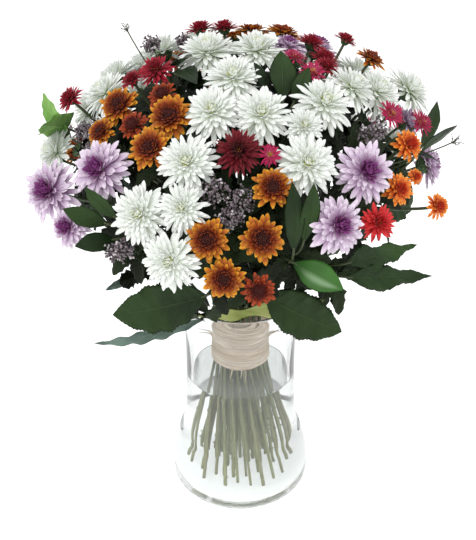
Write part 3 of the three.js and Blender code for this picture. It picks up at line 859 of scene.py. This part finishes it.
def addBlade(heap, rib, width, out, kind, finish, size=4):
    # a leaf blade along its midrib, folded along it, with a waved and toothed edge
    style = bladeStyles[kind]
    t = np.linspace(0, 1, style["stations"])
    spine = rib(t)
    length = np.linalg.norm(spine[-1] - spine[0])
    along = unit(np.gradient(spine, axis=0))
    side = unit(np.cross(out, along))
    upper = np.cross(along, side)
    spine = spine - upper * (style["droop"] * length * t ** 3)[:, None]
    half = width / 2 * curve(style["outline"], t)
    if style["teeth"]:
        saw = 1 - (t * style["teeth"]) % 1
        half = half * (1 - style["depth"] * (1 - saw) * np.clip(3 * t, 0, 1))
        half = half + style["depth"] * 0.12 * width * saw * (t < 0.95)
    phase = chance.uniform(0, 6)
    edge = np.abs(bladeSides)
    high = style["fold"] * half[:, None] * edge
    ripple = np.sin(t[:, None] * style["waves"] * 6.3 + phase + bladeSides * 1.5)
    high = high + style["wave"] * width * ripple * edge ** 2 * np.sin(math.pi * t)[:, None]
    high = high + style["thick"] * bladeFaces * (1 - 0.7 * edge) * (0.35 + np.sin(math.pi * t))[:, None]
    points = (spine[:, None] + (half[:, None] * bladeSides)[..., None] * side[:, None]
              + high[..., None] * upper[:, None])
    tone = (length / 0.1, chance.uniform())
    heap.addStrips(points[None], (bladeSides + 1) / 2, t, tone, finish, size)


bladeColours = {
    "ruscus": {"deep": "12240a", "light": "284214", "vein": "45602c", "veins": 0, "gloss": 0.36},
    "bright": {"deep": "1e4414", "light": "3d6e2a", "vein": "7fa870", "veins": 0, "gloss": 0.3},
    "serrated": {"deep": "14240e", "light": "263c18", "vein": "3c5428", "veins": 9, "gloss": 0.52},
    "lobed": {"deep": "182c10", "light": "2c461c", "vein": "48622f", "veins": 7, "gloss": 0.48},
    "long": {"deep": "36473f", "light": "6f8478", "vein": "9db0a4", "veins": 7, "gloss": 0.6},
    "pale": {"deep": "76803c", "light": "b2b672", "vein": "cdd09a", "veins": 6, "gloss": 0.5},
    "ivy": {"deep": "6a9a44", "light": "a4cc76", "vein": "cfe2ac", "veins": 5, "gloss": 0.5},
    "spray": {"deep": "0f1708", "light": "223214", "vein": "334522", "veins": 5, "gloss": 0.55},
}
bladePaintedSheen = {"bright": 0.45}  # a painted reflection: a pale band down one half of a glossy blade


def bladeFinish(kind):
    style = bladeColours[kind]
    finish = Finish(kind + "_leaf")
    across, along = finish.uv("strip")
    _, own = finish.uv("tone")
    away = abs(across * 2 - 1)
    grain = finish.noise(120, 4)
    patches = finish.noise(24, 2)
    colour = finish.mix(finish.smooth(patches + (own - 0.5) * 0.4, 0.3, 0.75), tint(style["deep"]),
                        tint(style["light"]))
    rib = 1 - finish.smooth(away, 0.0, 0.07)
    veins = rib
    if style["veins"]:
        # side veins leave the midrib and run forward to the edge
        place = finish.maths("FRACT", along * style["veins"] - away * 1.3 + (grain - 0.5) * 0.08)
        near = abs(place - 0.5)
        branch = 1 - finish.smooth(near, 0.0, 0.09)
        veins = finish.maths("MAXIMUM", rib, branch * 0.7)
        height = veins + finish.smooth(near, 0.0, 0.5) * 0.8
    else:
        # fine veins side by side along the blade
        lines = finish.maths("SINE", across * 90)
        height = rib + lines * 0.12
    colour = finish.mix(veins * 0.3, colour, tint(style["vein"]))
    colour = finish.mix(grain * 0.3, colour, tint(style["deep"]))
    if kind in bladePaintedSheen:
        # painted reflection: a pale band down one half of the glossy blade
        paintedSheen = finish.smooth(abs(across - 0.36), 0.0, 0.2, 1.0, 0.0) * finish.smooth(along, 0.05, 0.5)
        paintedSheen = paintedSheen * bladePaintedSheen[kind] * (1 - finish.smooth(along, 0.7, 1.0))
        colour = finish.mix(paintedSheen, colour, tint("9dba94"))
    normal = finish.bump(height + grain * 0.25, 0.0006, 0.7)
    rough = style["gloss"] + grain * 0.2
    return finish.done({"Base Color": colour, "Roughness": rough, "Normal": normal,
                        "Specular IOR Level": 0.22})


# reach and deepest are shares of the dome; below the clear height over the vase's mouth, a leaf's
# tip keeps within the mouth distance of the middle
fillerLeaf = {"length": (24 * mm, 42 * mm), "width": 0.5, "perRoute": 9, "reach": 0.9,
              "mouth": 32 * mm, "clear": 40 * mm, "deepest": 0.84, "trunkPoints": 13}
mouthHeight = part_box("glass_vase")[1][2]


def addFillers(heap, routes, finish):
    # small lobed leaves along the branches and the upper stem, which fill the inside of the dome
    for route in routes:
        way = unit(route[-1] - route[0])
        for k in range(fillerLeaf["perRoute"]):
            place = chance.uniform(0.1, 0.9) * (len(route) - 1)
            i = int(place)
            start = route[i] + (route[i + 1] - route[i]) * (place - i)
            if domeShare(start) > fillerLeaf["deepest"]:
                continue
            around = unit(chance.normal(0, 1, 3))
            direction = unit(way * 0.5 + unit(around - way * (around @ way)) * 0.9)
            length = chance.uniform(*fillerLeaf["length"])
            share = domeShare(start + direction * length)
            if share > fillerLeaf["reach"]:
                length *= max(1 - (share - fillerLeaf["reach"]) * 5, 0.35)
            out = unit(np.cross(direction, np.cross(domeNormal(start), direction)))
            tip = start + direction * length
            if tip[2] < mouthHeight + fillerLeaf["clear"] and math.hypot(*tip[:2]) > fillerLeaf["mouth"]:
                continue
            middle = (start + tip) / 2 + out * 0.1 * length
            rib = lambda t, a=start, b=middle, c=tip: bend(a, b, c, t)
            addBlade(heap, rib, length * fillerLeaf["width"], out, "spray", finish, 2)


lavender = {"twigs": 20, "florets": 6, "size": 1.35 * mm, "reach": (0.5, 1.1),
            "loose": 1.06, "looseTwigs": 7, "looseFlorets": 3, "looseSize": 0.8 * mm,
            "stations": np.array([0, 0.35, 0.75, 1.0]), "girth": np.array([0.22, 0.4, 0.85, 1.05])}


def lavenderFinish(name, dark, light):
    finish = Finish(name)
    _, along = finish.uv("strip")
    _, own = finish.uv("tone")
    grain = finish.noise(400)
    colour = finish.mix(finish.smooth(along + (own - 0.5) * 0.6, 0.1, 1.0), tint(dark), tint(light))
    colour = finish.mix(grain * 0.3, colour, tint(dark))
    normal = finish.bump(grain, 0.0002, 0.5)
    return finish.done({"Base Color": colour, "Roughness": 0.6 + grain * 0.2, "Normal": normal})


def addLavender(heap, cluster, finishes):
    # fine twigs that spread from the branch end, each with small papery funnels along it
    centre, size = cluster["centre"], cluster["size"]
    out = domeNormal(centre)
    foot = centre - out * size * 0.8
    loose = domeShare(centre) > lavender["loose"]  # twigs that stand out of the dome are nearly bare
    twigs = lavender["looseTwigs" if loose else "twigs"]
    count = lavender["looseFlorets" if loose else "florets"]
    floret = lavender["looseSize" if loose else "size"]
    angle = roundAngles(floretSides)
    for k in range(twigs):
        height = 1 - 1.5 * (k + 0.5) / twigs
        spin = golden * k
        side = unit(np.cross(out, [0.3, 0.9, 0.2]))
        wide = math.sqrt(max(1 - height * height, 0))
        way = out * height + wide * (math.cos(spin) * side + math.sin(spin) * np.cross(out, side))
        tip = centre + way * size * chance.uniform(*lavender["reach"])
        route = bend(foot, (foot + tip) / 2 + out * size * 0.25, tip, np.linspace(0, 1, 6))
        addTube(heap, route, np.linspace(0.45, 0.2, 6) * mm, 5, finishes["stem"], (0, 0.5))
        axis = unit(chance.normal(0, 0.7, (count, 3)) + way)
        across = unit(np.cross(axis, chance.normal(0, 1, (count, 3))))
        upper = np.cross(axis, across)
        spots = route[-1] + (route[-2] - route[-1]) * np.linspace(0, 2.6, count)[:, None]
        spots = spots + chance.normal(0, 1, (count, 3)) * size * 0.1
        length = floret * chance.uniform(1.3, 2.2, count)
        girth = floret * lavender["girth"] * 0.75
        wheel = np.cos(angle)[None, :, None] * across[:, None] + np.sin(angle)[None, :, None] * upper[:, None]
        rise = (length[:, None] * lavender["stations"])[..., None, None]
        points = spots[:, None, None] + rise * axis[:, None, None]
        points = points + girth[None, :, None, None] * wheel[:, None]
        own = np.stack([np.zeros(count), chance.uniform(0, 1, count)], axis=1)
        finish = finishes["lavender_white" if k % 6 == 2 else "lavender"]
        heap.addStrips(points, aroundShare(angle), lavender["stations"], own, finish)


finishes = {kind: petalFinish(kind) for kind in petalColours}
finishes.update({kind + "_eye": eyeFinish(kind) for kind in eyeColours})
finishes.update({kind + "_leaf": bladeFinish(kind) for kind in bladeColours})
finishes["calyx"] = calyxFinish()
finishes["stem"] = stemFinish()
finishes["lavender"] = lavenderFinish("lavender_calyx", "372e32", "85787f")
finishes["lavender_white"] = lavenderFinish("lavender_corolla", "786c74", "d6ced2")
print("finishes ready:", len(finishes))

special = {"red_stem_4": "crimson", "red_stem_5": "scarlet", "serrated_stem_3": "lobed"}
slots = {"ruscus": "dark_leaf", "serrated": "serrated_leaf", "long": "long_leaf", "pale": "pale_leaf",
         "ivy": "ivy_leaf", "limonium": "sea_lavender"}

for name, stand in stands.items():
    kind = special.get(name, stand["kind"])
    heap = Heap()
    trunk, branches = addStem(heap, stand, finishes["stem"])
    for bloom in stand["blooms"]:
        addBloom(heap, bloom, kind, finishes)
    for leaf in stand["leaves"]:
        # the wide glossy leaf gets the finish with the painted sheen
        glossy = name == "ruscus_stem_4" and leaf["width"] > 18 * mm
        finish = finishes[("bright" if glossy else kind) + "_leaf"]
        width = leaf["width"] * bladeStyles[kind]["wider"]
        addBlade(heap, leaf["rib"], width, leaf["out"], kind, finish, 6)
    for cluster in stand["clusters"]:
        addLavender(heap, cluster, finishes)
    addFillers(heap, branches + [trunk[-fillerLeaf["trunkPoints"]:]], finishes["spray_leaf"])
    slot = slots.get(stand["kind"], stand["kind"] + "_bloom")
    heap.build(name.replace("_stem_", "_cutting_"), name)
print("stems, blooms and leaves made:", len(stands))


vaseShape = {"sides": 128, "lip": 1.5 * mm, "footHollow": 1.6 * mm, "floorRound": 7 * mm, "steps": 8,
             "waterOverlap": 0.15 * mm, "meniscus": 1.2 * mm, "middle": 0.2 * mm}

# colour, index of refraction and clearness; the indices are lower than the real ones of about
# 1.5 and 1.33, which would mirror the stems in the foot
clearMatter = {
    "clear_glass": ((0.95, 0.96, 0.96, 1), 1.28, 0.965),
    "clear_water": ((0.965, 0.975, 0.965, 1), 1.1, 0.985),
    # the water surface is grey and cloudy: a painted shade across the top of the water
    "water_surface_painted_shade": ((0.66, 0.7, 0.69, 1), 1.1, 0.84),
}


def profileOf(node):
    # heights of a turned solid's rings with their outer and inner radii
    corners, _ = weld(node)
    radius = np.hypot(corners[:, 0], corners[:, 1])
    levels = {}
    for r, z in zip(radius, corners[:, 2]):
        levels.setdefault(round(float(z), 4), []).append(float(r))
    return [(z, max(rs), min(rs)) for z, rs in sorted(levels.items())]


def smoothThrough(points, steps):
    # a rounded curve through the points
    points = np.asarray(points, dtype=float)
    slopes = np.gradient(points, axis=0)
    made = []
    for i in range(len(points) - 1):
        for t in np.linspace(0, 1, steps, endpoint=False):
            a, b = points[i], points[i + 1]
            made.append((2 * t ** 3 - 3 * t ** 2 + 1) * a + (t ** 3 - 2 * t ** 2 + t) * slopes[i]
                        + (-2 * t ** 3 + 3 * t ** 2) * b + (t ** 3 - t ** 2) * slopes[i + 1])
    return made + [points[-1]]


def arc(centre, radius, start, end, steps):
    angles = np.radians(np.linspace(start, end, steps))
    return [(centre[0] + radius * math.cos(a), centre[1] + radius * math.sin(a)) for a in angles]


def addTurned(heap, profile, sides, tone, finish, size=1, first=None):
    angle = roundAngles(sides)
    wheel = np.stack([np.cos(angle), np.sin(angle), np.zeros(sides)], axis=1)
    rings = [r * wheel + (0, 0, z) for r, z in profile]
    along = np.linspace(0, 1, len(profile))
    heap.addStrips(np.array(rings)[None], aroundShare(angle), along, tone, finish, size, first)


def addLathe(name, profile, node, finish, first=None):
    # profile runs (radius, height) from one point on the axis to another; first is another
    # finish and how many of the rings it covers
    heap = Heap()
    addTurned(heap, profile, vaseShape["sides"], (0, 0), finish, first=first)
    heap.build(name, node)


def clearFinish(name):
    # slightly milky where clearness is under 1 and tinted by its colour, which on the water surface is a
    # painted shade; lets the lamps' light through to what is inside
    colour, ior, clearness = clearMatter[name]
    finish = Finish(name)
    body = finish.add("ShaderNodeBsdfPrincipled", None,
                      {"Base Color": colour, "Roughness": 0.0, "IOR": ior, "Transmission Weight": clearness})
    through = finish.add("ShaderNodeBsdfTransparent", None, {"Color": colour})
    shadow = finish.add("ShaderNodeLightPath", None, None, "Is Shadow Ray")
    surface = finish.add("ShaderNodeMixShader", None, {0: shadow, 1: body, 2: through})
    finish.add("ShaderNodeOutputMaterial", None, {"Surface": surface})
    return finish.material


def addVase():
    # from the middle of the hollow under the foot, up the outside, over the lip and down the inside
    rings = profileOf("glass_vase")
    floor = next(z for z, outer, inner in rings if inner < outer * 0.5 and z > 0)
    outside = [(outer, z) for z, outer, _ in rings if outer > 0.8 * rings[0][1]]
    walls = [(inner, z) for z, outer, inner in rings if z > floor + 1 * mm]
    foot = outside[0][0]
    lip, rise = vaseShape["lip"], vaseShape["footHollow"]
    top = (outside[-1][0] + walls[-1][0]) / 2
    profile = [(vaseShape["middle"], rise), (foot * 0.5, rise * 0.85), (foot * 0.84, rise * 0.3),
               (foot * 0.93, 0.0)]
    profile += smoothThrough(outside, vaseShape["steps"])[:-1]
    profile += arc((top, outside[-1][1] - lip), lip, 0, 180, 9)
    inner = smoothThrough(walls, vaseShape["steps"])[::-1][1:]
    bendRadius = vaseShape["floorRound"]
    low = walls[0][0] + (outside[3][0] - outside[4][0]) * 0.3
    profile += [p for p in inner if p[1] > floor + bendRadius * 1.6]
    corner = (low - bendRadius, floor + bendRadius)
    profile += arc(corner, bendRadius, 0, -90, 9)
    profile += [(low * 0.5, floor - 0.6 * mm), (vaseShape["middle"], floor - 0.9 * mm)]
    addLathe("clear_vase", profile, "glass_vase", clearFinish("clear_glass"))
    return profile, floor


def addWater(profile, floor):
    # the water fills the vase up to its level and just overlaps the glass, so no air shows between
    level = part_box("water")[1][2]
    start = max(range(len(profile)), key=lambda i: profile[i][1])
    inside = [(r, z) for r, z in profile[start:] if floor + 0.1 * mm < z < level]
    wall = [(r + vaseShape["waterOverlap"], z) for r, z in inside]
    edge = wall[0][0]
    rise = vaseShape["meniscus"]
    surface = [(edge, level + rise), (edge - 0.8 * mm, level + 0.4 * rise), (edge - 2.4 * mm, level),
               (edge * 0.5, level), (vaseShape["middle"], level)]
    bottom = [(vaseShape["middle"], floor - 1.05 * mm), (edge * 0.6, floor - 0.7 * mm)]
    body = bottom + wall[::-1]
    first = (clearFinish("clear_water"), len(body))
    addLathe("water_fill", body + surface, "water", clearFinish("water_surface_painted_shade"), first)


glassProfile, glassFloor = addVase()
addWater(glassProfile, glassFloor)
print("vase and water made")


# "sunk" is how far the strands and the core lie under the outside of the solid ring
raffia = {"turns": 64, "wide": (0.8 * mm, 2.1 * mm), "thick": 0.18 * mm, "stack": 1.4 * mm, "sunk": 1.0 * mm,
          "wander": 2.0 * mm, "spins": (1.1, 1.9), "pointsPerSpin": 60, "sides": 8, "lean": 14,
          "coreSides": 72, "coreRings": 30, "coreRib": 0.25 * mm, "coreRibs": 2400,
          "endLength": (16 * mm, 34 * mm), "endPoints": 14, "endWidths": (1.1 * mm, 0.25 * mm)}
# azimuth from the front, share of the tie's height, and the side it sways to or 0 where it hangs
looseEnds = [(-1.45, 0.52, -1), (-1.5, 0.46, -1), (1.42, 0.5, 1), (1.5, 0.46, 1), (1.38, 0.55, 1),
             (0.0, 0.02, 0), (0.12, 0.0, 0), (-0.3, 0.02, 0), (2.6, 0.3, 1)]


def raffiaFinish():
    # pale straw with fine lengthwise fibres, darker patches and painted shade along the strands' edges
    finish = Finish("raffia_straw")
    across, _ = finish.uv("strip")
    _, own = finish.uv("tone")
    patches = finish.noise(60, 3, (1, 1, 3))
    fibres = finish.noise(900, 2, (0.25, 0.25, 2))
    colour = finish.ramp(own * 0.6 + patches * 0.4, [(0.2, tint("e2ccb0")), (0.45, tint("f2dfc8")),
                                                   (0.8, tint("fbeedd"))])
    colour = finish.mix(finish.smooth(fibres, 0.5, 0.75) * 0.35, colour, tint("b89a78"))
    lines = finish.maths("SINE", across * 38)
    # darker along both edges of each strand: painted shade where the strands lie against each other
    colour = finish.mix(finish.smooth(abs(across * 2 - 1), 0.75, 1.0) * 0.22, colour, tint("a88a6a"))
    colour = finish.mix(finish.smooth(patches, 0.68, 0.76) * 0.6, colour, tint("7d5f42"))
    normal = finish.bump(lines * 0.3 + fibres * 0.8, 0.0004, 0.8)
    return finish.done({"Base Color": colour, "Roughness": 0.55 + patches * 0.25, "Normal": normal})


def addCore(heap, heights, outer, straw):
    # the dense inner turns, as one closed core that the stems pass through
    levels = np.linspace(heights[0] + 1 * mm, heights[-1] - 1 * mm, raffia["coreRings"])
    bulge = np.interp(levels, heights, outer) - raffia["sunk"]
    bulge = bulge + raffia["coreRib"] * np.sin(levels * raffia["coreRibs"])
    addTurned(heap, list(zip(bulge, levels)), raffia["coreSides"], (0, 0.3), straw, 4)


def addTurn(heap, k, heights, outer, straw):
    # one flat strand, a little higher than the last, that crosses its neighbours
    low, high = heights[0], heights[-1]
    wide = chance.uniform(*raffia["wide"]) / 2
    share = (k + 0.5) / raffia["turns"]
    middle = low + wide + (high - low - 2 * wide) * share
    spins = chance.uniform(*raffia["spins"])
    count = int(raffia["pointsPerSpin"] * spins)
    spin = np.linspace(0, 2 * math.pi * spins, count) + chance.uniform(0, 6.3)
    slope = chance.normal(0, raffia["wander"])
    z = middle + slope * np.sin(spin * 0.5 + chance.uniform(0, 6)) * math.sin(math.pi * share) ** 0.5
    z = z + 0.5 * mm * np.sin(spin * 2.3 + k)
    z = np.clip(z, low + wide * 0.6, high - wide * 0.6)
    lift = raffia["stack"] * chance.uniform(0.1, 0.8) * (0.6 + 0.4 * np.sin(spin * 1.7 + k))
    r = np.interp(z, heights, outer) - raffia["sunk"] + lift
    path = np.stack([r * np.cos(spin), r * np.sin(spin), z], axis=1)
    radial = np.stack([np.cos(spin), np.sin(spin), np.zeros(count)], axis=1)
    lean = np.radians(raffia["lean"] * np.sin(spin * 1.3 + k))[:, None]
    upper = np.cos(lean) * np.array([0, 0, 1.0]) + np.sin(lean) * radial
    fromEnd = np.minimum(np.arange(count), np.arange(count)[::-1])
    girth = wide * (1 + 0.25 * np.sin(spin * 3.1 + k)) * np.clip(fromEnd / 3, 0.25, 1)
    out = np.cross(np.gradient(path, axis=0), upper)
    addTube(heap, path, girth, raffia["sides"], straw, (share, chance.uniform()),
            raffia["thick"] / wide, 3, (upper, unit(out)))


def addLooseEnd(heap, looseEnd, heights, outer, straw):
    # an end that stands out to the side, or hangs at the front where its sway is 0
    azimuth, share, sway = looseEnd
    z = heights[0] + (heights[-1] - heights[0]) * share
    r = np.interp(z, heights, outer) - 0.5 * mm
    spot = np.array([r * math.sin(azimuth), -r * math.cos(azimuth), z])
    radial = np.array([math.sin(azimuth), -math.cos(azimuth), 0])
    around = np.array([math.cos(azimuth), math.sin(azimuth), 0])
    length = chance.uniform(*raffia["endLength"]) * (0.8 if sway else 0.35)
    lift = chance.uniform(0.1, 0.5) if sway else -0.8
    tip = spot + radial * length * 0.7 + np.array([0, 0, lift * length]) + around * sway * length * 0.3
    handle = spot + around * length * 0.3 * (sway or 1) + radial * 3 * mm
    points = raffia["endPoints"]
    route = bend(spot, handle, tip, np.linspace(0, 1, points))
    route = route + np.array([0, 0, 1.0]) * (np.sin(np.linspace(0, 5, points)) * 0.9 * mm)[:, None]
    widths = np.linspace(*raffia["endWidths"], points)
    addTube(heap, route, widths, raffia["sides"], straw, (0.5, chance.uniform()), 0.25, 2)


def addRaffia():
    rings = profileOf("raffia_tie")
    heights = [z for z, _, _ in rings]
    outer = [o for _, o, _ in rings]
    straw = raffiaFinish()
    heap = Heap()
    addCore(heap, heights, outer, straw)
    for k in range(raffia["turns"]):
        addTurn(heap, k, heights, outer, straw)
    for looseEnd in looseEnds:
        addLooseEnd(heap, looseEnd, heights, outer, straw)
    heap.build("raffia_binding", "raffia_tie")


addRaffia()
print("raffia made")


studio = {"floor": 60.0, "floorColour": "f4f5f5", "floorGlow": 0.5, "below": 0.2 * mm, "sky": 0.78,
          "aim": (0, 0, 0.3)}
lamps = {"key_lamp": {"place": (-0.8, -1.1, 1.9), "size": 1.3, "power": 19},
         "fill_lamp": {"place": (1.3, -0.5, 1.4), "size": 1.5, "power": 7}}


def addFloor():
    finish = Finish("studio_floor")
    grain = finish.noise(6)
    colour = finish.mix(grain * 0.15, tint(studio["floorColour"]), tint("eceeee"))
    material = finish.done({"Base Color": colour, "Roughness": 0.7 + grain * 0.1,
                            "Emission Color": (1, 1, 1, 1), "Emission Strength": studio["floorGlow"]})
    half = studio["floor"] / 2
    mesh = bpy.data.meshes.new("studio_floor")
    mesh.from_pydata([(-half, -half, 0), (half, -half, 0), (half, half, 0), (-half, half, 0)], [],
                     [(0, 1, 2, 3)])
    mesh.materials.append(material)
    floor = bpy.data.objects.new("studio_floor", mesh)
    floor.location.z = -studio["below"]
    bpy.context.scene.collection.objects.link(floor)


def addLamp(name, place, size, power):
    lamp = bpy.data.lights.new(name, "AREA")
    lamp.size = size
    lamp.energy = power
    holder = bpy.data.objects.new(name, lamp)
    holder.location = place
    away = np.array(place) - np.array(studio["aim"])
    holder.rotation_euler = (math.atan2(math.hypot(away[0], away[1]), away[2]), 0,
                             math.atan2(away[1], away[0]) + math.pi / 2)
    bpy.context.scene.collection.objects.link(holder)


def addSky():
    world = bpy.data.worlds.new("studio_sky")
    world.use_nodes = True
    background = world.node_tree.nodes["Background"]
    background.inputs["Color"].default_value = (1, 1, 1, 1)
    background.inputs["Strength"].default_value = studio["sky"]
    bpy.context.scene.world = world


addFloor()
for name, lamp in lamps.items():
    addLamp(name, **lamp)
addSky()
bpy.context.scene.view_settings.view_transform = "Standard"
print("studio ready")
